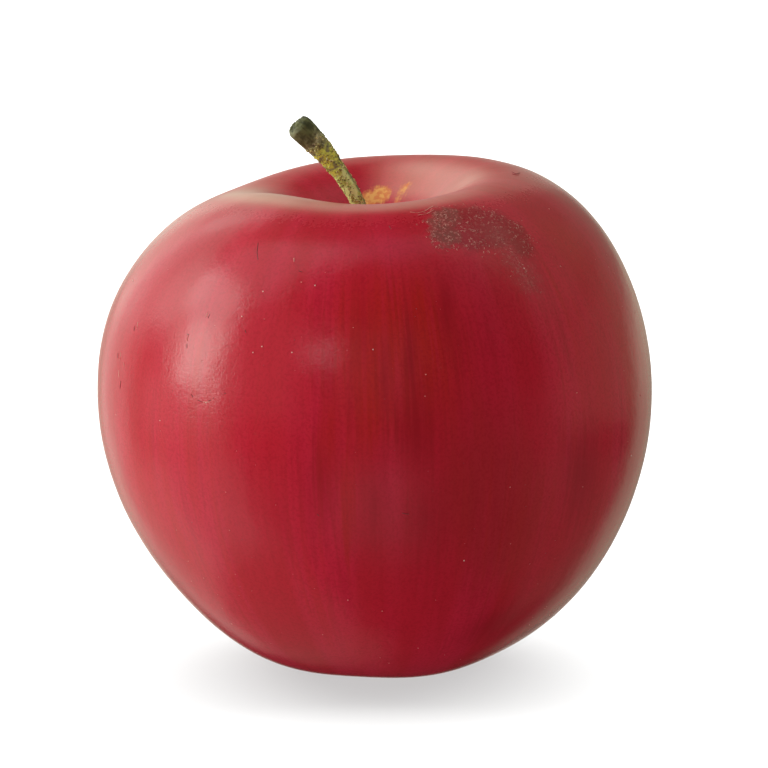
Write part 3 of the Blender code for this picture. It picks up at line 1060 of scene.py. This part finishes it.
def paint_skin(paint):
    on = read_skin(paint)
    colour = lay_painted_sheens(paint, on, lay_reds(paint, on))
    colour, russet = lay_russet(paint, on, colour)
    colour, film = lay_scuff(paint, on, colour)
    heights = {"Strength": 1.0, "Distance": 1.0, "Height": skin_relief(paint, on)}
    bump = paint.node("ShaderNodeBump", None, heights, "Normal")
    roughness = skin_roughness(on, film, russet)
    paint.coat({"Base Color": colour, "Roughness": roughness, "IOR": SKIN_REFRACTION, "Normal": bump})


paint_skin(skin_paint)
print("skin nodes:", len(skin_paint.tree.nodes))

# %% [markdown]
# ## The scuff and the specks
# Below the crest on the right the skin has been rubbed. Over the brown film lie hundreds of tiny pale
# curls of lifted skin. They could be painted, but they catch the light one by one, so each is a bent
# sliver strewn over the rubs by Geometry Nodes. The same way strews the round breathing pores, which
# stand up a little from the whole skin.

# %% Pale curls on the scuff
CURL_LENGTH = 0.00036
CURL_THICKNESS = 0.000030
CURL_BEND = math.radians(130.0)
CURL_DENSITY = 24000000.0
CURL_SIZES = (0.25, 1.2)
CURL_SEED = 11
CURL_CLUMP_WAVES = 1300.0
CURL_CLUMP_LEVEL = 0.53
PALE_SKIN = (0.74, 0.38, 0.31)
PINK_SKIN = (0.42, 0.095, 0.080)


def plain_coat(name, first, second, grain, roughness, relief=0.00001):
    """A rough coat that wavers between two colours in patches of this size."""
    material, paint = new_material(name)
    patches = paint.noise(paint.node("ShaderNodeTexCoord", output="Object"), 1.0 / grain, 3.0)
    bump = paint.node("ShaderNodeBump", None, {"Distance": relief, "Height": patches}, "Normal")
    colour = paint.mix(patches.step(0.38, 0.62), first, second)
    paint.coat({"Base Color": colour, "Roughness": roughness + (patches - 0.5) * 0.2, "Normal": bump})
    return material


def make_curls(material):
    rule = Rule("strew_curls", {"Skin": skin, "Density": CURL_DENSITY, "Length": CURL_LENGTH})
    blob, net, tail = rule.split(rule.named("rubs"))
    rubbed = blob.step(0.15, 0.65).larger(net.step(0.05, 0.60) * 0.42).larger(tail.step(0.20, 0.80) * 0.25)
    clumps = rule.noise(rule.place(), CURL_CLUMP_WAVES, 3.0, 0.6) > CURL_CLUMP_LEVEL
    arc = rule.node(
        "GeometryNodeCurveArc",
        {"mode": "RADIUS"},
        {"Resolution": 5, "Radius": rule["Length"] / CURL_BEND, "Sweep Angle": CURL_BEND},
        "Curve",
    )
    aside = rule.combine(0.0 - rule["Length"] / CURL_BEND, 0.0, 0.0)
    sliver = rule.tube(rule.transformed(arc, Translation=aside), CURL_THICKNESS, 5)
    curls = rule.scattered(
        rule.shape_of("Skin"), rubbed * rule["Density"], CURL_SEED, sliver, CURL_SIZES, kept=clumps
    )
    rule.finish(curls, material)
    return rule.grow("scuff_curls")


curls = make_curls(plain_coat("lifted_skin", PINK_SKIN, PALE_SKIN, 0.0006, 0.5))

# %% Pores
PORE_RADIUS = 0.000085
PORE_FLATNESS = 0.5
PORE_CLUMP_WAVES = 70.0
# Each kind of pore: its seed, how many lie on a square metre, its range of sizes and its two colours.
PORES = {
    "pale_pores": (23, 34000.0, (0.45, 1.25), (0.56, 0.040, 0.055), (0.70, 0.22, 0.19)),
    "dark_pores": (30, 14000.0, (0.35, 1.00), (0.20, 0.008, 0.014), (0.28, 0.012, 0.018)),
}


def make_pores(name, seed, density, sizes, first, second):
    rule = Rule("strew_" + name, {"Skin": skin, "Density": density, "Radius": PORE_RADIUS})
    share = rule.split(rule.named("around"))[2]
    exposed = share.step(0.10, 0.25) * share.fall(0.72, 0.90)
    clumps = 0.15 + rule.noise(rule.place(), PORE_CLUMP_WAVES, 2.0).step(0.45, 0.65)
    density = exposed * clumps * rule["Density"]
    bead = rule.ball(rule["Radius"], 2)
    pores = rule.scattered(rule.shape_of("Skin"), density, seed, bead, sizes, PORE_FLATNESS)
    rule.finish(pores, plain_coat(name, first, second, 0.0012, 0.3))
    return rule.grow(name)


pale_pores, dark_pores = (make_pores(name, *kind) for name, kind in PORES.items())

# %% Scratches and nicks
PALE_SCRATCHES = (
    ((410, 212), (418, 213), (425, 211), (433, 206)),
    ((418, 215), (426, 214), (434, 210)),
    ((188, 336), (187, 341)),
    ((138, 322), (137, 329)),
    ((121, 352), (120, 360)),
    ((119, 370), (119, 377)),
    ((124, 362), (124, 366)),
    ((206, 317), (208, 312)),
    ((294, 258), (294, 262)),
    ((203, 402), (209, 402)),
)
DARK_SCRATCHES = (
    ((258, 243), (257, 252), (258, 260)),
    ((191, 394), (193, 397)),
    ((198, 400), (202, 402)),
    ((208, 401), (211, 400)),
    ((224, 394), (226, 393)),
    ((187, 334), (189, 335)),
    ((187, 344), (187, 348)),
    ((135, 326), (134, 331)),
    ((118, 353), (118, 358)),
    ((121, 381), (120, 388)),
    ((208, 318), (210, 314)),
    ((317, 514), (319, 516)),
    ((402, 513), (406, 514), (409, 514)),
    ((389, 226), (391, 229)),
    ((299, 271), (302, 272)),
    ((245, 330), (246, 333)),
    ((512, 172), (516, 174), (520, 173)),
    ((512, 174), (516, 175), (519, 175)),
)
PALE_DOTS = (
    (315, 285),
    (464, 560),
    (631, 455),
    (133, 280),
    (263, 291),
    (242, 316),
    (253, 352),
    (262, 346),
    (292, 352),
    (206, 402),
    (160, 420),
    (373, 349),
    (524, 268),
)
DOT_RADIUS = 0.000080
SCRATCH_RADIUS = 0.000055
SCRATCH_STEP = 2.0


def make_scratches(name, paths, radius, material):
    """Hair-thin ridges that follow the skin under paths of pixels."""
    curve = bpy.data.curves.new(name, "CURVE")
    curve.dimensions = "3D"
    for pixels in paths:
        places = []
        for start, end in zip(pixels, pixels[1:]):
            steps = max(1, round(math.dist(start, end) / SCRATCH_STEP))
            for number in range(steps):
                share = number / steps
                pixel = (start[0] + (end[0] - start[0]) * share, start[1] + (end[1] - start[1]) * share)
                places.append(on_skin(pixel))
        places.append(on_skin(pixels[-1]))
        spline = curve.splines.new("POLY")
        spline.points.add(len(places) - 1)
        for number, (point, place) in enumerate(zip(spline.points, places)):
            point.co = (*place, 1.0)
            middle = math.sin(math.pi * (number + 0.5) / len(places))
            point.radius = 0.35 + 0.65 * middle
    paths_object = add_object(name + "_paths", curve)
    rule = Rule("draw_" + name, {"Paths": paths_object, "Radius": radius})
    rule.finish(rule.tube(rule.shape_of("Paths"), rule["Radius"], 6), material)
    piece = rule.grow(name)
    bpy.data.objects.remove(paths_object)
    return piece


pale_scratches = make_scratches(
    "pale_scratches",
    PALE_SCRATCHES,
    SCRATCH_RADIUS,
    plain_coat("pale_scratch", (0.56, 0.13, 0.11), (0.74, 0.36, 0.29), 0.0009, 0.4),
)
dark_scratches = make_scratches(
    "dark_scratches",
    DARK_SCRATCHES,
    SCRATCH_RADIUS,
    plain_coat("dark_scratch", (0.13, 0.010, 0.012), (0.22, 0.022, 0.024), 0.0009, 0.5),
)
pale_dots = make_scratches(
    "pale_dots",
    [((x, y), (x, y + 1)) for x, y in PALE_DOTS],
    DOT_RADIUS,
    plain_coat("pale_dot", (0.78, 0.40, 0.36), (0.86, 0.64, 0.56), 0.0009, 0.35),
)

# %% [markdown]
# ## The stem
# A woody twig that leans out of its cavity and thickens to the knob where it was picked. It could be
# a tube along a curve, but bark isn't even, so the rule takes the curve's place, direction and
# thickness at each step and adds ridges and lumps. The last rows close over the cut in a low dome.

# %% The stem's path
STEM_KNOTS = (
    (0.0000, 0.0553, 0.00130),
    (0.0000, 0.0580, 0.00130),
    (-0.0004, 0.0625, 0.00112),
    (-0.0016, 0.0676, 0.00102),
    (-0.0043, 0.0722, 0.00118),
    (-0.0072, 0.0759, 0.00160),
    (-0.0088, 0.0776, 0.00184),
    (-0.0096, 0.0784, 0.00188),
)
STEM_LEAN_Y = -0.0008
STEM_SIDES = 72
STEM_ROWS = 230
STEM_CUT_SHARE = 0.88
STEM_DOME = 0.0011
BARK_RIDGES = 0.00008
BARK_LUMPS = 0.00042


def make_stem_path():
    curve = bpy.data.curves.new("stem_path", "CURVE")
    curve.dimensions = "3D"
    curve.resolution_u = 24
    spline = curve.splines.new("BEZIER")
    spline.radius_interpolation = "CARDINAL"
    spline.bezier_points.add(len(STEM_KNOTS) - 1)
    tip_height = STEM_KNOTS[-1][1]
    for point, (x, z, radius) in zip(spline.bezier_points, STEM_KNOTS):
        lean = STEM_LEAN_Y * max(0.0, (z - THROAT_HEIGHT) / (tip_height - THROAT_HEIGHT))
        point.co = (CAVITY_AXIS.x + x, CAVITY_AXIS.y + lean, z)
        point.radius = radius
        point.handle_left_type = "AUTO"
        point.handle_right_type = "AUTO"
    return add_object("stem_path", curve)


def make_stem(material):
    path = make_stem_path()
    rule = Rule(
        "grow_stem",
        {
            "Path": path,
            "Sides": STEM_SIDES,
            "Rows": STEM_ROWS,
            "Ridges": BARK_RIDGES,
            "Lumps": BARK_LUMPS,
            "Dome": STEM_DOME,
        },
    )
    sheet, angle, share = rule.grid(rule["Sides"] + 1, rule["Rows"])
    bark_share = (share / STEM_CUT_SHARE).smaller(1.0)
    over_cut = ((share - STEM_CUT_SHARE) / (1.0 - STEM_CUT_SHARE)).larger(0.0)
    thickness = rule.node("GeometryNodeInputRadius")
    sample = rule.node(
        "GeometryNodeSampleCurve",
        {"mode": "FACTOR", "use_all_curves": True, "data_type": "FLOAT"},
        {"Curves": rule.shape_of("Path"), "Factor": bark_share, "Value": thickness},
        "Value",
    )
    centre = sample.output("Position")
    forwards = sample.output("Tangent")
    sideways = rule.vector("NORMALIZE", rule.vector("CROSS_PRODUCT", forwards, (0.0, 1.0, 0.0)))
    backwards = rule.vector("CROSS_PRODUCT", forwards, sideways)
    closing = (over_cut * (math.pi / 2.0)).cosine() ** 0.48 * share.step(-0.001, 0.006)
    ridge_place = rule.combine(angle.cosine() * 4.0, angle.sine() * 4.0, share * 9.0)
    ridges = rule.noise(ridge_place, 1.0, 3.0) - 0.5
    lump_place = rule.combine(angle.cosine() * 1.6, angle.sine() * 1.6, share * 16.0)
    lumps = rule.noise(lump_place, 1.0, 3.0, 0.6) - 0.5
    lumpy = 0.25 + bark_share.step(0.30, 0.50) * bark_share.fall(0.80, 0.95) * 0.75
    radius = (sample + ridges * rule["Ridges"] + lumps * rule["Lumps"] * lumpy) * closing
    aside = rule.scaled(sideways, radius * angle.cosine())
    ring = rule.vector("ADD", aside, rule.scaled(backwards, radius * angle.sine()))
    dome = rule.scaled(forwards, (over_cut * (math.pi / 2.0)).sine() * rule["Dome"] * (1.0 + lumps * 1.5))
    position = rule.vector("ADD", rule.vector("ADD", centre, ring), dome)
    along = rule.combine(angle.cosine(), angle.sine(), share)
    grown = rule.moved(rule.stored(sheet, "along", along), position=position)
    rule.finish(rule.merged(grown, JOIN_DISTANCE), material)
    stem = rule.grow("stem_bark")
    bpy.data.objects.remove(path)
    return stem


# %% Bark
GREY_GREEN = (0.150, 0.155, 0.050)
DARK_GREEN = (0.048, 0.050, 0.014)
CUT_GREY = (0.32, 0.33, 0.17)
BROWN_BARK = (0.290, 0.270, 0.115)
BARK_TAN = (0.60, 0.60, 0.32)
BARK_SHADE = (0.085, 0.072, 0.034)
BLACK_BROWN = (0.016, 0.013, 0.008)
# Painted shade: the brown of the stem's side turned away from the light.
PAINTED_SHADE_BROWN = (0.036, 0.026, 0.014)
MOSS = (0.76, 0.82, 0.115)
YELLOW_GREEN = (0.84, 0.98, 0.36)
OLIVE_GREEN = (0.52, 0.62, 0.13)
ROOT_END = (0.56, 0.63)
MOSS_END = (0.73, 0.78)
BARK_END = (0.79, 0.84)
BARK_RELIEF = 0.00012
# Noises on the bark, in waves to the metre.
BAND_WAVES = 500.0
BLOTCH_WAVES = 900.0
SPECKLE_WAVES = 2400.0


def paint_stem():
    material, paint = new_material("stem_bark")
    along = paint.node("ShaderNodeAttribute", {"attribute_name": "along"}, output="Vector")
    place = paint.node("ShaderNodeTexCoord", output="Object")
    left, _, share = paint.split(along)
    share = share + (paint.noise(place, BAND_WAVES, 2.0) - 0.5) * 0.12
    speckle = paint.noise(place, SPECKLE_WAVES, 3.0, 0.6)
    blotch = paint.noise(place, BLOTCH_WAVES, 3.0, 0.6)
    fibre = paint.noise(paint.vector("MULTIPLY", along, (5.0, 5.0, 7.0)), 1.0, 3.0)
    root = paint.mix(blotch.step(0.44, 0.60), YELLOW_GREEN, OLIVE_GREEN)
    root = paint.mix(speckle.step(0.56, 0.66) * 0.75, root, BLACK_BROWN)
    mossy = paint.mix(blotch.step(0.38, 0.50), BROWN_BARK, MOSS)
    mossy = paint.mix(speckle.fall(0.36, 0.46) * 0.7, mossy, BLACK_BROWN)
    bark = paint.mix(blotch.step(0.38, 0.54), BARK_SHADE, BROWN_BARK)
    bark = paint.mix(speckle.step(0.52, 0.62) * 0.8, bark, BARK_TAN)
    head = paint.mix((fibre * 0.3 + blotch * 0.7).step(0.38, 0.62), DARK_GREEN, GREY_GREEN)
    colour = paint.mix(share.step(*ROOT_END), root, mossy)
    colour = paint.mix(share.step(*MOSS_END), colour, bark)
    colour = paint.mix(share.step(*BARK_END), colour, head)
    rim = share.step(0.880, 0.90) * share.fall(0.93, 0.96) * left.step(-0.4, 0.6)
    colour = paint.mix(rim * 0.6, colour, CUT_GREY)
    # Painted shade: the lower stem's side turned away from the light is darkened to brown.
    shaded_side = (left + (blotch - 0.5) * 0.6).fall(-1.05, -0.70)
    colour = paint.mix(shaded_side * share.fall(0.66, 0.76) * 0.9, colour, PAINTED_SHADE_BROWN)
    relief = fibre * 0.7 + speckle * 0.8 + blotch * 0.6
    bump = paint.node("ShaderNodeBump", None, {"Distance": BARK_RELIEF, "Height": relief}, "Normal")
    paint.coat({"Base Color": colour, "Roughness": 0.55 + (blotch - 0.5) * 0.3, "Normal": bump})
    return material


stem = make_stem(paint_stem())

# %% Moss
MOSS_GRAIN = 0.00012
MOSS_DENSITY = 9000000.0
MOSS_SIZES = (0.5, 1.6)
MOSS_FLATNESS = 0.8
MOSS_SEED = 41


def make_moss(material):
    rule = Rule("strew_moss", {"Bark": stem, "Density": MOSS_DENSITY, "Grain": MOSS_GRAIN})
    share = rule.split(rule.named("along"))[2]
    clumps = rule.noise(rule.place(), BLOTCH_WAVES, 2.0).step(0.44, 0.60)
    mossy = share.step(0.30, 0.40) * share.fall(0.78, 0.84)
    density = mossy * clumps * rule["Density"]
    crumb = rule.ball(rule["Grain"], 1)
    crumbs = rule.scattered(rule.shape_of("Bark"), density, MOSS_SEED, crumb, MOSS_SIZES, MOSS_FLATNESS)
    rule.finish(crumbs, material)
    return rule.grow("stem_moss")


moss = make_moss(plain_coat("moss", (0.20, 0.18, 0.04), (0.84, 0.78, 0.30), 0.0003, 0.5))

# %% [markdown]
# ## The dried flower
# An apple stands on what was the flower end. Five sepals dried there and curl outwards in the eye,
# round a brush of stamens. The camera doesn't see them, but someone who turns the apple over does.
# One blade is grown by a rule and set out five times round the eye, then crumpled a little.

# %% Sepals and stamens
SEPALS = 5
SEPAL_LENGTH = 0.0054
SEPAL_ROOT_HALF_WIDTH = 0.00105
SEPAL_BELLY = 1.1
SEPAL_THICKNESS = 0.00020
SEPAL_ROOT_RADIUS = 0.0014
SEPAL_ROOT_SPREAD = math.radians(14.0)
SEPAL_TIP_SPREAD = math.radians(70.0)
SEPAL_CUP = 0.00055
SEPAL_SIZES = (0.86, 1.02)
CRUMPLE = 0.00035
TUBE_RADIUS = 0.0020
STAMENS = 13
STAMEN_LENGTH = 0.0026
STAMEN_RADIUS = 0.00010
STAMEN_RING_RADIUS = 0.0008
INNER_STAMENS = 5
ANTHER_RADIUS = 0.00026
ANTHER_STRETCH = (0.8, 1.0, 1.5)
STAMEN_SIZES = (0.75, 1.1)
INNER_SIZES = (0.7, 1.0)
SEPAL_TILT = 0.10
STAMEN_TILT = 0.35
INNER_TILT = 0.25
CRUMPLE_WAVES = 600.0
TUBE_DEPTH = 0.0022
TUBE_RISE = 0.0007
SEPAL_RIB = 0.00012
SEPAL_GRID = (29, 44)
CALYX_CENTRE = Vector((BASE_SHIFT.x, 0.0, EYE_HEIGHT))
CALYX_SEED = 7


def spread_round(rule, instance, count, ring_radius, sizes, seed, tilt=0.0):
    """Copies of a shape set out round the eye, each turned to face outwards."""
    ring_size = {"Vertices": count, "Radius": ring_radius}
    ring = rule.node("GeometryNodeMeshCircle", {"fill_type": "NONE"}, ring_size)
    index = rule.node("GeometryNodeInputIndex")
    turn = index * math.tau / count + rule.random(-0.12, 0.12, seed)
    rotation = rule.combine(rule.random(-tilt, tilt, seed + 1), rule.random(-tilt, tilt, seed + 2), turn)
    scale = rule.random(sizes[0], sizes[1], seed + 3)
    copies = {"Points": ring, "Instance": instance, "Rotation": rotation, "Scale": scale}
    return rule.node("GeometryNodeInstanceOnPoints", None, copies)


def make_blade(rule):
    """One sepal, with its root at the middle and its tip bent outwards."""
    sheet, angle, share = rule.grid(*SEPAL_GRID)
    bend = SEPAL_TIP_SPREAD - SEPAL_ROOT_SPREAD
    spread = share * bend + SEPAL_ROOT_SPREAD
    outwards = (math.cos(SEPAL_ROOT_SPREAD) - spread.cosine()) * rule["Sepal Length"] / bend
    down = (spread.sine() - math.sin(SEPAL_ROOT_SPREAD)) * rule["Sepal Length"] / bend
    ends = share.step(0.0, 0.02) * (1.0 - share ** 1.7)
    half_width = (1.0 + share * SEPAL_BELLY) * ends * SEPAL_ROOT_HALF_WIDTH
    thickness = rule["Sepal Thickness"] * (1.2 - share * 0.6)
    thickness = thickness * share.step(0.0, 0.02) * share.fall(0.97, 1.0)
    side = angle.cosine()
    lift = angle.sine() * thickness + side * side * (1.0 - share) * -SEPAL_CUP
    rib = side.size_alone().fall(0.0, 0.3) * SEPAL_RIB
    x = outwards + lift * spread.cosine() - rib * angle.sine()
    z = 0.0 - down + lift * spread.sine()
    return rule.merged(rule.moved(sheet, position=rule.combine(x, half_width * side, z)), JOIN_DISTANCE)


def make_stamen(rule):
    """A filament that hangs down, with its anther at the end."""
    filament = rule.cone(7, 6, STAMEN_RADIUS, STAMEN_RADIUS * 0.7, rule["Stamen Length"])
    hanging = rule.transformed(filament, Translation=rule.combine(0.0, 0.0, rule["Stamen Length"] * -0.5))
    bead_size = {"Segments": 8, "Rings": 6, "Radius": ANTHER_RADIUS}
    bead = rule.node("GeometryNodeMeshUVSphere", None, bead_size, "Mesh")
    end = rule.combine(0.0, 0.0, 0.0 - rule["Stamen Length"])
    return rule.joined(hanging, rule.transformed(bead, Translation=end, Scale=ANTHER_STRETCH))


def make_calyx(material):
    rule = Rule(
        "grow_calyx",
        {
            "Sepals": SEPALS,
            "Sepal Length": SEPAL_LENGTH,
            "Sepal Thickness": SEPAL_THICKNESS,
            "Stamens": STAMENS,
            "Stamen Length": STAMEN_LENGTH,
            "Crumple": CRUMPLE,
        },
    )
    stamen = make_stamen(rule)
    sepal_ring = (rule["Sepals"], SEPAL_ROOT_RADIUS, SEPAL_SIZES, CALYX_SEED, SEPAL_TILT)
    outer_ring = (rule["Stamens"], STAMEN_RING_RADIUS, STAMEN_SIZES, CALYX_SEED + 10, STAMEN_TILT)
    inner_ring = (INNER_STAMENS, STAMEN_RING_RADIUS * 0.4, INNER_SIZES, CALYX_SEED + 20, INNER_TILT)
    sepals = spread_round(rule, make_blade(rule), *sepal_ring)
    stamens = spread_round(rule, stamen, *outer_ring)
    inner = spread_round(rule, stamen, *inner_ring)
    tube = rule.cone(40, 10, TUBE_RADIUS, TUBE_RADIUS * 0.85, TUBE_DEPTH, "TRIANGLE_FAN", 8)
    seated = rule.transformed(tube, Translation=(0.0, 0.0, TUBE_RISE))
    everything = rule.joined(sepals, stamens, inner, seated)
    real = rule.node("GeometryNodeRealizeInstances", None, {"Geometry": everything})
    noise = rule.noise(rule.place(), CRUMPLE_WAVES, 2.0).output("Color")
    shift = rule.scaled(rule.vector("SUBTRACT", noise, (0.5, 0.5, 0.5)), rule["Crumple"])
    crumpled = rule.moved(real, offset=shift)
    rule.finish(rule.transformed(crumpled, Translation=CALYX_CENTRE), material)
    return rule.grow("dried_flower")


# %% Fuzz on the sepals
HAIR_LENGTH = 0.00065
HAIR_RADIUS = 0.000022
HAIR_DENSITY = 5000000.0
HAIR_SEED = 61
HAIR_TILT = 0.7


def make_fuzz(material):
    rule = Rule("grow_fuzz", {"Sepals": calyx, "Density": HAIR_DENSITY, "Length": HAIR_LENGTH})
    hair = rule.cone(4, 1, HAIR_RADIUS * 0.3, HAIR_RADIUS, rule["Length"])
    raised = (0.0, 0.0, HAIR_LENGTH * 0.3)
    tilted = rule.transformed(hair, Translation=raised, Rotation=(HAIR_TILT, 0.0, 0.0))
    hairs = rule.scattered(rule.shape_of("Sepals"), rule["Density"], HAIR_SEED, tilted, (0.5, 1.2))
    rule.finish(hairs, material)
    return rule.grow("sepal_fuzz")


DRY_BROWN = (0.045, 0.026, 0.012)
DRY_TAN = (0.16, 0.105, 0.050)
calyx = make_calyx(plain_coat("dry_calyx", DRY_BROWN, DRY_TAN, 0.0007, 0.8, 0.00008))
fuzz = make_fuzz(plain_coat("sepal_fuzz", (0.30, 0.26, 0.19), (0.46, 0.42, 0.34), 0.0008, 0.85))

# %% [markdown]
# ## The pieces
# Each piece rides on the one body, and the frame's three solids are hidden.

# %% Ride, and hide the frame
FINISHES = {
    "apple_skin": (skin, curls, pale_pores, dark_pores, pale_scratches, dark_scratches, pale_dots),
    "stem_bark": (stem, moss),
    "dry_calyx": (calyx, fuzz),
}
for slot, pieces in FINISHES.items():
    for piece in pieces:
        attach(piece, "root")
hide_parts("apple_fruit")
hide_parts("stem")
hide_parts("calyx")
